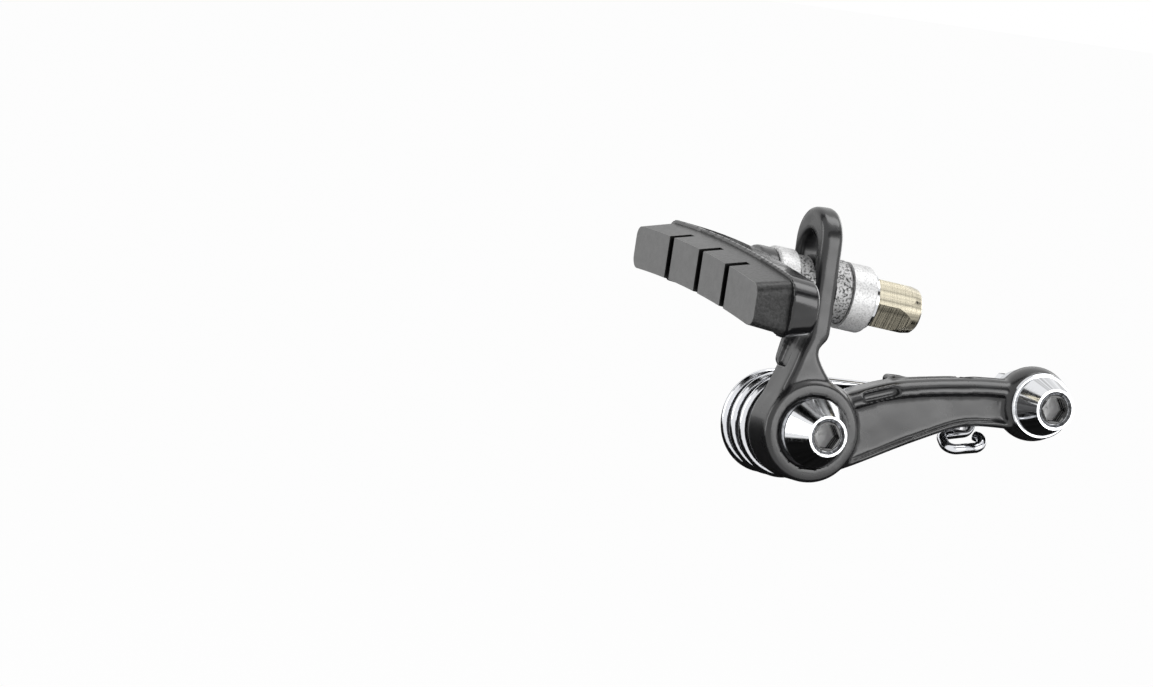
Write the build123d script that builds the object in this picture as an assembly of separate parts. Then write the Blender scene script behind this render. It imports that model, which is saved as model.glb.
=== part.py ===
from build123d import *
from math import atan2, cos, degrees, pi, radians, sin, sqrt
import os

# Cantilever rim brake, one arm with its pad, in millimetres.
# Origin: on the pivot axis, at the front end of the bush, where the bolt's washer bears.
# +X runs out along the lever, +Y from the front to the bicycle's frame, +Z up along the slotted plate.

# Pivot boss of the arm
boss_d = 21.4
boss_face_y = -1.5
boss_back_y = 8.7
boss_edge_round = 1.1
recess_d = 15.6
recess_depth = 1.6
barrel_d = 15.0
barrel_back_y = 21.4
bore_step = 0.1                 # the bush stands proud of the arm by this at each end

# Bush, bolt and washer that hold the arm on the frame's post
bush_d = 10.0
bush_bore_d = 8.0
running_clearance = 0.05
m6_d = 6.0
pivot_washer_d = 14.0
pivot_washer_t = 0.9
pivot_cone_base_y = -3.0
pivot_cone_base_d = 14.6
pivot_cone_tip_d = 8.6
pivot_cone_h = 6.3
pivot_shoulder_d = 13.2
pivot_neck_d = 5.2              # relief under the head
pivot_thread_end_y = 16.0
head_rim_w = 0.5
socket_dish = 0.3               # flat ring round the socket, inside the raised rim
thread_point = 0.6
socket_af = 5.0
socket_depth = 3.8

# Lever
anchor_x = 52.0
anchor_z = 11.0
ball_d = 15.9
ball_front_y = 0.0
ball_flat_d = 13.9
lever_front_y = -0.4
lever_back_y = 8.0
neck_front_y = 0.6
neck_back_y = 7.5
root_above = 9.8                # edge heights beside the boss, from the pivot axis
root_below = 6.2
neck_above = 4.4                # edge heights beside the ball, from the anchor axis
neck_below = 5.8
crown_above = 8.1               # edge heights in between, from the line that joins both axes
crown_below = 4.2
top_bows = (0.65, 0.25)         # bulge of the edge's near and far half over a straight line
low_bows = (0.1, 1.2)
shoulder_round = 2.8            # broad rounded shoulder along the lever's upper front edge
lever_edge_round = 0.9
panel_depth = 1.0
panel_top_margin = 3.3
panel_bottom_margin = 1.3
panel_boss_gap = 0.2
panel_ball_lap = 0.3
pocket_length = 8.2
pocket_w = 2.0
pocket_depth = 1.7
pocket_gap = 0.6                # from the boss to the pocket's near end

# Slotted plate that carries the pad
plate_t = 4.9
plate_mid_x = -0.95
plate_front_y = -0.6
plate_w = 14.8
plate_top_z = 46.6
plate_edge_round = 1.4
flat_from_z = 21.0
neck_z = 17.4
neck_out_shift = 1.9            # how far each face swings inwards at the neck
neck_in_shift = 1.0
slot_w = 8.0
slot_low_z = 21.0
slot_high_z = 41.0
slot_chamfer = 0.7
groove_w = 4.6
groove_depth = 0.9
groove_low_z = 12.6
heel_proud = 2.9                # the plate's back edge overhangs the spring by this
heel_rise = 1.2
coil_headroom = 0.4

# Spring lug on the lever's back
lug_x = 19.4
lug_length = 4.3
lug_h = 2.0
lug_proud = 0.5
lug_root = 2.2
lug_bevel = 0.5
lug_under_wire = 0.44

# Return spring
wire_d = 2.2
coil_d = 20.2                   # centre line of the wire
coil_pitch = 4.7
coil_turns = 2.75
coil_start_y = 10.25
leg_y = 9.7
leg_bend_r = 30.0
leg_end_x = 41.0
loop_end_x = 33.2
loop_back_y = 6.7
loop_front_y = 2.3
loop_back_z = 2.4
loop_front_z = -0.3
loop_slope = 0.4                # the loop rises towards the ball
tang_length = 6.0
wire_bend = 2.4

# Tension screw
screw_x = 36.0
screw_y = 5.0
screw_d = 4.0
screw_length = 9.0
screw_socket_af = 2.0
screw_socket_depth = 2.2
screw_point = 0.4
screw_above_loop = 1.0          # lower end over the centre line of the loop's back run

# Cable anchor
ring_washer_t = 1.2
ring_washer_bevel = 0.25
anchor_cone_base_d = 12.5
anchor_cone_tip_d = 8.7
anchor_cone_h = 6.4
bolt_hole_clearance = 0.1
clamp_washer_d = 13.0
clamp_washer_t = 3.6
clamp_washer_bevel = 0.5
cable_hole_d = 2.2
cable_groove_w = 2.7
anchor_nut_af = 10.0
anchor_nut_t = 5.0
nut_corner_cut = 0.6
nut_corner_h = 0.36
thread_past_nut = 1.2

# Pad hardware, in the stud's frame: distances along the stud from the middle of the plate
stud_z = 29.4
camber = 5.3                    # degrees, nut end down
dome_d = 13.4
dome_bore_d = 8.4
ball_joint_r = 8.95             # the domes' sphere, centred in the middle of the plate
ball_joint_gap = 0.1
cup_d = 14.2
cup_rim_at = 6.5
outer_cup_end = 12.0
inner_cup_end = 10.9
cup_edge_round = 0.7
cup_bore_clearance = 0.3
flat_washer_d = 12.0
flat_washer_t = 0.8
nut_length = 11.0
nut_hex_length = 5.2
nut_af = 10.0
nut_tip_d = 9.4
nut_socket_depth = 4.2
nut_edge_cut = 0.45
thread_clearance = 0.05
washer_clearance = 0.2

# Brake shoe and rubber, in the shoe's frame
shoe_cant = -7.0                # degrees between the shoe and the stud
pad_pitch = 5.4                 # degrees, front end down
pad_offset = 2.0                # the pad's middle lies this far behind the stud
rim_radius = 420.0
face_at = 26.5
rubber_proud = 7.6
shoe_depth = 6.2
pad_length = 68.4
pad_face_h = 8.9
rubber_base_h = 11.4
rubber_end_slope = 0.8
rubber_corner_round = 2.4
shoe_length = 71.5
shoe_front_h = 13.2
shoe_back_h = 11.0
shoe_round = 1.0
rubber_seat_margin = 0.9
rubber_seat_depth = 3.4
groove_places = (14.2, -2.1, -16.7)
pad_groove_w = 2.3
pad_groove_depth = 4.6
shoe_boss_d = 13.0
shoe_boss_root = 2.0            # how deep the boss reaches into the shoe
shoe_web_w = 2.0
back_pocket_depth = 3.0
back_pocket_round = 2.2
back_pocket_inner = 9.5
back_pocket_outer = 29.0
stud_head_d = 9.6
stud_head_t = 2.0
stud_clearance = 0.02

# Worked-out places
plate_in_x = plate_mid_x - plate_t / 2
plate_out_x = plate_mid_x + plate_t / 2
plate_back_y = plate_front_y + plate_w
plate_mid_y = plate_front_y + plate_w / 2
recess_floor_y = boss_face_y + recess_depth
bush_front_y = recess_floor_y - bore_step
bush_back_y = barrel_back_y + bore_step
ball_mid_y = ball_front_y + sqrt((ball_d / 2) ** 2 - (ball_flat_d / 2) ** 2)
ball_back_y = 2 * ball_mid_y - ball_front_y
lever_root_x = boss_d / 2
lever_neck_x = anchor_x - ball_d / 2
lever_mid_x = (lever_root_x + lever_neck_x) / 2
coil_r = coil_d / 2
m6_r = m6_d / 2
ahead_y = pivot_cone_base_y - pivot_cone_h    # in front of the whole arm, where cuts start


def filled(*lines):
    """A flat face inside a closed run of edges."""
    edges = []
    for line in lines:
        edges += line.edges()
    return make_face(edges)


def slab_y(face, low_y, high_y):
    """A side-view outline, drawn as (x, z), made solid from low_y to high_y."""
    plane = Plane(origin=(0, low_y, 0), x_dir=(1, 0, 0), z_dir=(0, -1, 0))
    return extrude(plane * face, amount=high_y - low_y, dir=(0, 1, 0))


def slab_x(face, low_x, high_x):
    """An end-view outline, drawn as (y, z), made solid from low_x to high_x."""
    plane = Plane(origin=(low_x, 0, 0), x_dir=(0, 1, 0), z_dir=(1, 0, 0))
    return extrude(plane * face, amount=high_x - low_x, dir=(1, 0, 0))


def slab_z(face, low_z, high_z):
    """A plan outline, drawn as (x, y), made solid from low_z to high_z."""
    return extrude(Plane.XY.offset(low_z) * face, amount=high_z - low_z, dir=(0, 0, 1))


def round_y(diameter, low_y, high_y, x=0.0, z=0.0):
    """A round bar along Y."""
    return slab_y(Location((x, z)) * Circle(diameter / 2), low_y, high_y)


def round_z(diameter, low_z, high_z, x=0.0, y=0.0):
    """A round bar along Z."""
    return slab_z(Location((x, y)) * Circle(diameter / 2), low_z, high_z)


def turned_y(points, x=0.0, z=0.0):
    """A turned piece about a line along Y, from (radius, y) points."""
    outline = filled(Polyline(*points, close=True))
    return Location((x, 0, z)) * revolve(outline, Axis.Y)


def turned_x(points):
    """A turned piece about X, from (x, radius) points."""
    return revolve(filled(Polyline(*points, close=True)), Axis.X)


def hexagon(across_flats):
    return RegularPolygon(across_flats / 2, 6, major_radius=False)


def lever_edge(above, shift=0.0):
    """Points along the lever's upper or lower edge, from the boss to the ball."""
    middle = anchor_z / anchor_x * lever_mid_x
    if above:
        root, crown, neck = root_above, middle + crown_above, anchor_z + neck_above
        near_bow, far_bow = top_bows
        start = root * 0.8
    else:
        root, crown, neck = -root_below, middle - crown_below, anchor_z - neck_below
        near_bow, far_bow = low_bows
        start = root * 1.35
    near_x = (lever_root_x + lever_mid_x) / 2
    far_x = (lever_mid_x + lever_neck_x) / 2
    points = [(lever_root_x * 0.5, start), (lever_root_x, root), (near_x, (root + crown) / 2 + near_bow),
              (lever_mid_x, crown), (far_x, (crown + neck) / 2 + far_bow), (lever_neck_x + 1.0, neck),
              (anchor_x - 2, neck)]
    return [(x, z + shift) for x, z in points]


def lever_outline(top_margin=0.0, bottom_margin=0.0):
    """The lever's side view; the margins shrink it for the recessed panel."""
    top = lever_edge(True, -top_margin)
    low = lever_edge(False, bottom_margin)
    return filled(Spline(*top), Line(top[-1], low[-1]), Spline(*reversed(low)), Line(low[0], top[0]))


def lever_front_at(x):
    return lever_front_y + (neck_front_y - lever_front_y) * (x - lever_root_x) / (lever_neck_x - lever_root_x)


def lever_back_at(x):
    return lever_back_y + (neck_back_y - lever_back_y) * (x - lever_root_x) / (lever_neck_x - lever_root_x)


def lever_plan(front_shift=0.0):
    """The lever's tapered plan view between its front and back faces."""
    near, far = 0.0, anchor_x
    return filled(Polyline((near, lever_front_at(near) + front_shift), (far, lever_front_at(far) + front_shift),
                           (far, lever_back_at(far)), (near, lever_back_at(near)), close=True))


def tall(plan):
    return slab_z(plan, -boss_d, plate_top_z)


def lever_blank():
    blank = slab_y(lever_outline(), ahead_y, barrel_back_y) & tall(lever_plan())
    long_edges = [e for e in blank.edges() if e.length > (lever_neck_x - lever_root_x) * 0.8]
    middle_z = anchor_z * lever_mid_x / anchor_x
    middle_y = (lever_front_y + lever_back_y) / 2
    shoulder = [e for e in long_edges if e.center().Z > middle_z and e.center().Y < middle_y]
    blank = fillet(shoulder, shoulder_round)
    long_edges = [e for e in blank.edges() if e.length > (lever_neck_x - lever_root_x) * 0.8]
    lower_or_back = [e for e in long_edges if e.center().Z < middle_z or e.center().Y > lever_back_y - 1.5]
    return fillet(lower_or_back, lever_edge_round)


def lever_panel():
    """The recess in the lever's front, which stops short of the boss and the ball."""
    tool = slab_y(lever_outline(panel_top_margin, panel_bottom_margin), ahead_y, barrel_back_y)
    front = Polyline((0, ahead_y), (anchor_x, ahead_y), (anchor_x, lever_front_at(anchor_x) + panel_depth),
                     (0, lever_front_at(0) + panel_depth), close=True)
    tool = tool & tall(filled(front))
    tool -= round_y(boss_d + 2 * panel_boss_gap, ahead_y, barrel_back_y)
    return tool - round_y(ball_d - 2 * panel_ball_lap, ahead_y, barrel_back_y, anchor_x, anchor_z)


def shoulder_pocket():
    """The short slot in the lever's upper shoulder beside the boss."""
    top = lever_edge(True)[1:]
    slope = degrees(atan2(top[1][1] - top[0][1], top[1][0] - top[0][0]))
    start_x = lever_root_x + pocket_gap
    middle_x = start_x + pocket_length / 2 * cos(radians(slope))
    middle_z = top[0][1] + (middle_x - top[0][0]) * (top[1][1] - top[0][1]) / (top[1][0] - top[0][0])
    drop = panel_top_margin * 0.56
    shape = Location((middle_x, middle_z - drop), slope) * RectangleRounded(pocket_length, pocket_w, pocket_w / 2.5)
    return slab_y(shape, ahead_y, lever_front_y + pocket_depth)


def plate_side(face_x, neck_x, flare):
    """One side of the plate in the side view, from its top down into the boss."""
    straight = Line((face_x, plate_top_z + 1), (face_x, flat_from_z))
    return straight, Spline((face_x, flat_from_z), (neck_x, neck_z), *flare,
                            tangents=[(0, -1), (flare[-1][0] - flare[-2][0], flare[-1][1] - flare[-2][1])])


def on_boss(*shares):
    """Points of the side view, as shares of the boss's diameter."""
    return [(x * boss_d, z * boss_d) for x, z in shares]


outer_flare = on_boss((0.028, 0.668), (0.14, 0.528), (0.36, 0.42))
inner_flare = on_boss((-0.266, 0.617), (-0.341, 0.42), (-0.44, 0.17))


def plate_strip(shift_in=0.0, shift_out=0.0):
    """The plate's side view between its two faces."""
    out_line, out_curve = plate_side(plate_out_x - shift_out, plate_out_x - neck_out_shift - shift_out,
                                     [(x - shift_out, z) for x, z in outer_flare])
    in_line, in_curve = plate_side(plate_in_x + shift_in, plate_in_x - neck_in_shift + shift_in,
                                   [(x + shift_in, z) for x, z in inner_flare])
    top_out, top_in = out_line @ 0, in_line @ 0
    low_out, low_in = out_curve @ 1, in_curve @ 1
    return filled(out_line, out_curve, Line(low_out, (0, 0)), Line((0, 0), low_in), in_curve, in_line,
                  Line(top_in, top_out))


def plate_end_view():
    """The plate seen along X: round top, straight front, back edge that narrows to the boss."""
    r = plate_w / 2
    spring_z = plate_top_z - r
    front = Line((plate_front_y, 0), (plate_front_y, spring_z))
    top = ThreePointArc((plate_front_y, spring_z), (plate_mid_y, plate_top_z), (plate_back_y, spring_z))
    back = Line((plate_back_y, spring_z), (plate_back_y, flat_from_z))
    ledge_z = coil_r + wire_d / 2 + coil_headroom
    heel = (boss_back_y + heel_proud, ledge_z + heel_rise)
    narrow = Spline((plate_back_y, flat_from_z), (plate_back_y - 1.5, neck_z - 1), heel,
                    tangents=[(0, -1), (-0.35, -1)])
    foot = Polyline(heel, (boss_back_y, ledge_z), (boss_back_y, 0), (plate_front_y, 0))
    return filled(front, top, back, narrow, foot)


def plate_blank():
    blank = slab_y(plate_strip(), ahead_y, plate_back_y + 1) & slab_x(plate_end_view(), -boss_d, boss_d)
    edges = [e for e in blank.edges() if e.center().Z > 10 and e.length > 1]
    return fillet(edges, plate_edge_round)


def stud_slot():
    """The through slot for the pad stud, with bevelled rims."""
    length = slot_high_z - slot_low_z
    middle = Location((plate_mid_y, (slot_low_z + slot_high_z) / 2), 90)
    tool = slab_x(middle * SlotOverall(length, slot_w), -boss_d, boss_d)
    wide = middle * SlotOverall(length + 2 * slot_chamfer, slot_w + 2 * slot_chamfer)
    narrow = middle * SlotOverall(length, slot_w)
    plane_out = Plane(origin=(plate_out_x, 0, 0), x_dir=(0, 1, 0), z_dir=(1, 0, 0))
    deep_out = Plane(origin=(plate_out_x - slot_chamfer, 0, 0), x_dir=(0, 1, 0), z_dir=(1, 0, 0))
    plane_in = Plane(origin=(plate_in_x, 0, 0), x_dir=(0, 1, 0), z_dir=(1, 0, 0))
    deep_in = Plane(origin=(plate_in_x + slot_chamfer, 0, 0), x_dir=(0, 1, 0), z_dir=(1, 0, 0))
    tool += loft([deep_out * narrow, plane_out * wide])
    return tool + loft([plane_in * wide, deep_in * narrow])


def side_grooves():
    """Shallow grooves that run from the slot down both faces of the neck."""
    whole = slab_y(plate_strip(), plate_mid_y - groove_w / 2, plate_mid_y + groove_w / 2)
    core = slab_y(plate_strip(groove_depth, groove_depth), ahead_y, plate_back_y + 1)
    reach = Location((plate_mid_x, plate_mid_y, (groove_low_z + slot_low_z) / 2 + 1))
    window = reach * Box(boss_d, groove_w, slot_low_z - groove_low_z + 2)
    return (whole - core) & window


def spring_lug():
    top = lever_edge(True)[1:]
    slope = (top[2][1] - top[1][1]) / (top[2][0] - top[1][0])
    top_z = top[1][1] + (lug_x + lug_length / 2 - top[1][0]) * slope
    low_y = lever_back_at(lug_x) - lug_root
    high_y = leg_y + lug_under_wire
    middle = ((lug_x + lug_length / 2), (low_y + high_y) / 2, top_z + lug_proud - lug_h / 2)
    lug = Location(middle) * Box(lug_length, high_y - low_y, lug_h)
    return chamfer(lug.edges().filter_by(Axis.Y), lug_bevel)


def brake_arm():
    boss = round_y(boss_d, boss_face_y, boss_back_y)
    rims = boss.edges().filter_by(GeomType.CIRCLE)
    boss = fillet(rims, boss_edge_round)
    ball = Location((anchor_x, ball_mid_y, anchor_z)) * Sphere(ball_d / 2)
    ball &= round_y(ball_d * 1.2, ball_front_y, ball_back_y, anchor_x, anchor_z)
    arm = boss + round_y(barrel_d, boss_face_y + recess_depth, barrel_back_y) + plate_blank() + lever_blank() + ball
    arm += spring_lug()
    arm -= lever_panel()
    arm -= shoulder_pocket()
    arm -= side_grooves()
    arm -= stud_slot()
    arm -= round_y(recess_d, ahead_y, recess_floor_y)
    arm -= round_y(bush_d + 2 * running_clearance, boss_face_y, barrel_back_y + 1)
    arm -= round_y(m6_d + 2 * bolt_hole_clearance, ahead_y, ball_back_y + 1, anchor_x, anchor_z)
    return arm - round_z(screw_d + 2 * running_clearance, -boss_d, plate_top_z, screw_x, screw_y)


def cone_bolt(base_y, cone_h, base_d, tip_d, under_head, shank_end_y, x=0.0, z=0.0):
    """A bolt with a conical head and a hexagon socket; under_head leads from the cone's base to the shank."""
    tip_y = base_y - cone_h
    dish_r = socket_af / sqrt(3) + socket_dish
    rim_inner_r = tip_d / 2 - head_rim_w
    points = [(0, tip_y + head_rim_w), (dish_r, tip_y + head_rim_w), (rim_inner_r, tip_y), (tip_d / 2, tip_y),
              (base_d / 2, base_y - head_rim_w), (base_d / 2, base_y)]
    points += under_head
    points += [(m6_r, shank_end_y - thread_point), (m6_r - thread_point, shank_end_y), (0, shank_end_y)]
    bolt = turned_y(points, x, z)
    socket = slab_y(Location((x, z)) * hexagon(socket_af), tip_y - 1, tip_y + head_rim_w + socket_depth)
    return bolt - socket


def pivot_bolt():
    shoulder_r, neck_r = pivot_shoulder_d / 2, pivot_neck_d / 2
    shoulder_y = bush_front_y - pivot_washer_t
    under_head = [(shoulder_r, pivot_cone_base_y), (shoulder_r, shoulder_y), (neck_r, shoulder_y),
                  (neck_r, bush_front_y), (m6_r, bush_front_y)]
    return cone_bolt(pivot_cone_base_y, pivot_cone_h, pivot_cone_base_d, pivot_cone_tip_d, under_head,
                     pivot_thread_end_y)


def pivot_washer():
    disc = round_y(pivot_washer_d, bush_front_y - pivot_washer_t, bush_front_y)
    return disc - round_y(m6_d + 2 * washer_clearance, ahead_y, bush_front_y + 1)


def pivot_bush():
    tube = round_y(bush_d, bush_front_y, bush_back_y)
    return tube - round_y(bush_bore_d, bush_front_y - 1, bush_back_y + 1)


def anchor_bolt():
    end_y = ball_back_y + clamp_washer_t + anchor_nut_t + thread_past_nut
    base_y = ball_front_y - ring_washer_t
    bolt = cone_bolt(base_y, anchor_cone_h, anchor_cone_base_d, anchor_cone_tip_d, [(m6_r, base_y)],
                     end_y, anchor_x, anchor_z)
    hole_y = ball_back_y + cable_hole_d / 2
    return bolt - round_z(cable_hole_d, anchor_z - m6_d, anchor_z + m6_d, anchor_x, hole_y)


def anchor_ring_washer():
    low_y = ball_front_y - ring_washer_t
    disc = round_y(ball_flat_d, low_y, ball_front_y, anchor_x, anchor_z)
    disc = chamfer(disc.edges().filter_by(GeomType.CIRCLE), ring_washer_bevel)
    return disc - round_y(m6_d + 2 * bolt_hole_clearance, ahead_y, ball_front_y + 1, anchor_x, anchor_z)


def cable_clamp_washer():
    disc = round_y(clamp_washer_d, ball_back_y, ball_back_y + clamp_washer_t, anchor_x, anchor_z)
    disc = chamfer(disc.edges().filter_by(GeomType.CIRCLE).sort_by(Axis.Y)[-1], clamp_washer_bevel)
    disc -= round_y(m6_d + 2 * bolt_hole_clearance, ahead_y, ball_back_y + clamp_washer_t + 1, anchor_x, anchor_z)
    groove_y = ball_back_y + cable_hole_d / 2
    middle = Location((anchor_x, (ball_back_y - 2 + groove_y) / 2, anchor_z))
    groove = middle * Box(cable_groove_w, groove_y - ball_back_y + 2, 2 * clamp_washer_d)
    groove += round_z(cable_groove_w, anchor_z - clamp_washer_d, anchor_z + clamp_washer_d, anchor_x, groove_y)
    return disc - groove


def anchor_nut():
    low_y = ball_back_y + clamp_washer_t
    nut = slab_y(Location((anchor_x, anchor_z)) * hexagon(anchor_nut_af), low_y, low_y + anchor_nut_t)
    high_y = low_y + anchor_nut_t
    r = anchor_nut_af / sqrt(3)
    turned = [(0, low_y), (r, low_y), (r, high_y - nut_corner_h), (r - nut_corner_cut, high_y), (0, high_y)]
    nut &= turned_y(turned, anchor_x, anchor_z)
    return nut - round_y(m6_d + 2 * thread_clearance, ahead_y, high_y + 1, anchor_x, anchor_z)


def bent_wire(points, radii):
    """Straight runs joined by tangent arcs; one radius for each inner point."""
    points = [Vector(*p) for p in points]
    edges = []
    start = points[0]
    for before, corner, after, radius in zip(points, points[1:], points[2:], radii):
        to_back = (before - corner).normalized()
        to_front = (after - corner).normalized()
        half = radians(to_back.get_angle(to_front)) / 2
        reach = radius / (sin(half) / cos(half))
        arc_start = corner + to_back * reach
        arc_end = corner + to_front * reach
        bisector = (to_back + to_front).normalized()
        arc_mid = corner + bisector * (radius / sin(half) - radius)
        edges.append(Edge.make_line(start, arc_start))
        edges.append(Edge.make_three_point_arc(arc_start, arc_mid, arc_end))
        start = arc_end
    edges.append(Edge.make_line(start, points[-1]))
    return edges


def coil_point(angle):
    return Vector(-coil_r * sin(angle), coil_start_y + coil_pitch * angle / (2 * pi), coil_r * cos(angle))


def coil_tangent(angle):
    return Vector(-coil_r * cos(angle), coil_pitch / (2 * pi), -coil_r * sin(angle)).normalized()


def coil_wire():
    """The helix as spline pieces of an eighth of a turn, each with its true end tangents."""
    steps = round(coil_turns * 8)
    turn = 2 * pi * coil_turns
    edges = []
    for i in range(steps):
        low, high = turn * i / steps, turn * (i + 1) / steps
        points = [coil_point(low), coil_point((low + high) / 2), coil_point(high)]
        edges.append(Edge.make_spline(points, tangents=[coil_tangent(low), coil_tangent(high)]))
    return edges


def return_spring():
    """One round wire: hairpin loop, leg behind the lever, open coil, and the tang that enters the frame."""
    bend_x = (coil_start_y - leg_y) * 2 * pi * coil_r / coil_pitch
    leg = [(0, coil_start_y, coil_r), (bend_x, leg_y, coil_r), (leg_end_x, leg_y, coil_r),
           (leg_end_x, leg_y - 0.4, loop_back_z + loop_slope * 2),
           (loop_end_x, loop_back_y, loop_back_z - loop_slope),
           (loop_end_x - 0.2, loop_front_y, loop_front_z - loop_slope),
           (leg_end_x - 1.2, loop_front_y, loop_front_z + loop_slope * 2)]
    hairpin = (loop_back_y - loop_front_y) / 2 * 0.97
    front = bent_wire(leg, [leg_bend_r, wire_bend, wire_bend * 0.9, hairpin, hairpin])
    end = coil_point(2 * pi * coil_turns)
    corner = end + coil_tangent(2 * pi * coil_turns) * wire_bend * 1.1
    tang = bent_wire([end, corner, corner + Vector(0, tang_length, 0)], [wire_bend])
    path = Wire(front + coil_wire() + tang)
    profile = Plane(origin=front[-1] @ 1, z_dir=front[-1] % 1) * Circle(wire_d / 2)
    return sweep(profile, path=path)


def tension_screw():
    low_z = loop_back_z + screw_above_loop
    body = round_z(screw_d, low_z, low_z + screw_length, screw_x, screw_y)
    body = chamfer(body.edges().filter_by(GeomType.CIRCLE), screw_point)
    socket = slab_z(Location((screw_x, screw_y)) * hexagon(screw_socket_af),
                    low_z + screw_length - screw_socket_depth, low_z + screw_length + 1)
    return body - socket


stud_place = Location((plate_mid_x, plate_mid_y, stud_z)) * Rot(0, camber, 0)
shoe_hinge_x = -(inner_cup_end + 1.0)
shoe_front_x = -(face_at - rubber_proud)
shoe_place = (stud_place * Rot(pad_pitch, 0, 0) * Location((shoe_hinge_x, 0, 0)) * Rot(0, shoe_cant, 0)
              * Location((-shoe_hinge_x, 0, 0)))


def dome_washer(side):
    """Flat on the plate, domed towards the cup; side is +1 outside the plate and -1 inside."""
    flat = plate_t / 2
    rim_r = dome_d / 2
    bore_r = dome_bore_d / 2
    rim_at = sqrt(ball_joint_r ** 2 - rim_r ** 2)
    top_at = sqrt(ball_joint_r ** 2 - bore_r ** 2)
    mid_r = (rim_r + bore_r) / 2
    mid = (sqrt(ball_joint_r ** 2 - mid_r ** 2), mid_r)
    outline = filled(Line((flat, bore_r), (flat, rim_r)), Line((flat, rim_r), (rim_at, rim_r)),
                     ThreePointArc((rim_at, rim_r), mid, (top_at, bore_r)), Line((top_at, bore_r), (flat, bore_r)))
    washer = revolve(outline, Axis.X)
    turn = 0 if side > 0 else 180
    return Location((plate_mid_x, plate_mid_y, stud_z)) * Rot(0, 0, turn) * washer


def cup_washer(side, end_at):
    """Hollowed to the dome's sphere, flat on its other face."""
    hollow_r = ball_joint_r + ball_joint_gap
    bore_r = m6_r + cup_bore_clearance
    edge_r = cup_d / 2
    lip_r = sqrt(hollow_r ** 2 - cup_rim_at ** 2)
    top_at = sqrt(hollow_r ** 2 - bore_r ** 2)
    mid_r = (lip_r + bore_r) / 2
    mid = (sqrt(hollow_r ** 2 - mid_r ** 2), mid_r)
    cut = cup_edge_round
    outline = filled(Line((cup_rim_at, lip_r), (cup_rim_at, edge_r)), Line((cup_rim_at, edge_r), (end_at - cut, edge_r)),
                     ThreePointArc((end_at - cut, edge_r), (end_at - cut * 0.3, edge_r - cut * 0.3),
                                   (end_at, edge_r - cut)),
                     Line((end_at, edge_r - cut), (end_at, bore_r)), Line((end_at, bore_r), (top_at, bore_r)),
                     ThreePointArc((top_at, bore_r), mid, (cup_rim_at, lip_r)))
    turn = 0 if side > 0 else 180
    return stud_place * Rot(0, 0, turn) * revolve(outline, Axis.X)


def stud_flat_washer():
    low, high = outer_cup_end, outer_cup_end + flat_washer_t
    r, bore_r = flat_washer_d / 2, m6_r + washer_clearance
    return stud_place * turned_x([(low, bore_r), (low, r), (high, r), (high, bore_r)])


def stud_nut():
    """Long nut: a hexagon that runs out into a cone, with a hexagon socket in its end."""
    low = outer_cup_end + flat_washer_t
    high = low + nut_length
    hex_end = low + nut_hex_length
    bar = slab_x(hexagon(nut_af), low, high)
    r = nut_af / sqrt(3)
    tip_r = nut_tip_d / 2
    envelope = turned_x([(low, 0), (low, r - nut_edge_cut), (low + nut_edge_cut, r), (hex_end, r),
                         (high - nut_edge_cut, tip_r), (high, tip_r - nut_edge_cut), (high, 0)])
    nut = bar & envelope
    bore = slab_x(Circle(m6_r + thread_clearance), low - 1, high - nut_socket_depth + 1)
    socket = slab_x(hexagon(socket_af), high - nut_socket_depth, high + 1)
    return stud_place * (nut - bore - socket)


def shoe_section_bar(low_x, high_x, low_h, high_h, length, slope=0.0):
    """A bar curved to the rim: height low_h at low_x and high_h at high_x, about the rim's centre."""
    section = filled(Polyline((low_x, -low_h / 2), (high_x, -high_h / 2), (high_x, high_h / 2),
                              (low_x, low_h / 2), close=True))
    arc = degrees(length / rim_radius) * 1.2
    to_centre = Location((0, 0, -rim_radius))
    back = Location((0, 0, rim_radius))
    upright = Plane(origin=(0, 0, 0), x_dir=(1, 0, 0), z_dir=(0, -1, 0)) * section
    start = to_centre * Rot(-arc / 2, 0, 0) * back * upright
    bar = revolve(start, Axis((0, 0, -rim_radius), (1, 0, 0)), arc)
    low_half, high_half = length / 2 - slope, length / 2
    ends = filled(Polyline((low_x - 1, -low_half), (high_x + 1, -high_half), (high_x + 1, high_half),
                           (low_x - 1, low_half), close=True))
    return bar & slab_z(ends, -3 * high_h, 3 * high_h)


def end_corners(solid, half_length):
    """The four edges at the two ends of a bar that run across the pad's thickness."""
    found = []
    for edge in solid.edges():
        run = edge @ 1 - edge @ 0
        if abs(edge.center().Y) > half_length * 0.9 and abs(run.X) > 0.7 * edge.length:
            found.append(edge)
    return found


def pad_slide():
    return Location((0, pad_offset, 0))


def rubber_proud_part():
    proud = shoe_section_bar(-face_at, shoe_front_x, pad_face_h, rubber_base_h, pad_length, rubber_end_slope)
    return fillet(end_corners(proud, pad_length / 2), rubber_corner_round)


def rubber_seat():
    """The root of the rubber, which fills the pocket in the shoe's front."""
    seat_h = rubber_base_h - 2 * rubber_seat_margin
    seat_length = pad_length - 2 * rubber_seat_margin
    seat = shoe_section_bar(shoe_front_x, shoe_front_x + rubber_seat_depth, seat_h, seat_h, seat_length)
    return fillet(end_corners(seat, seat_length / 2), rubber_corner_round)


def pad_rubber():
    rubber = rubber_proud_part() + rubber_seat()
    for place in groove_places:
        middle = Location((-face_at + pad_groove_depth / 2 - 1, place, 0))
        rubber -= middle * Box(pad_groove_depth + 2, pad_groove_w, 4 * pad_face_h)
    return shoe_place * pad_slide() * rubber


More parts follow.
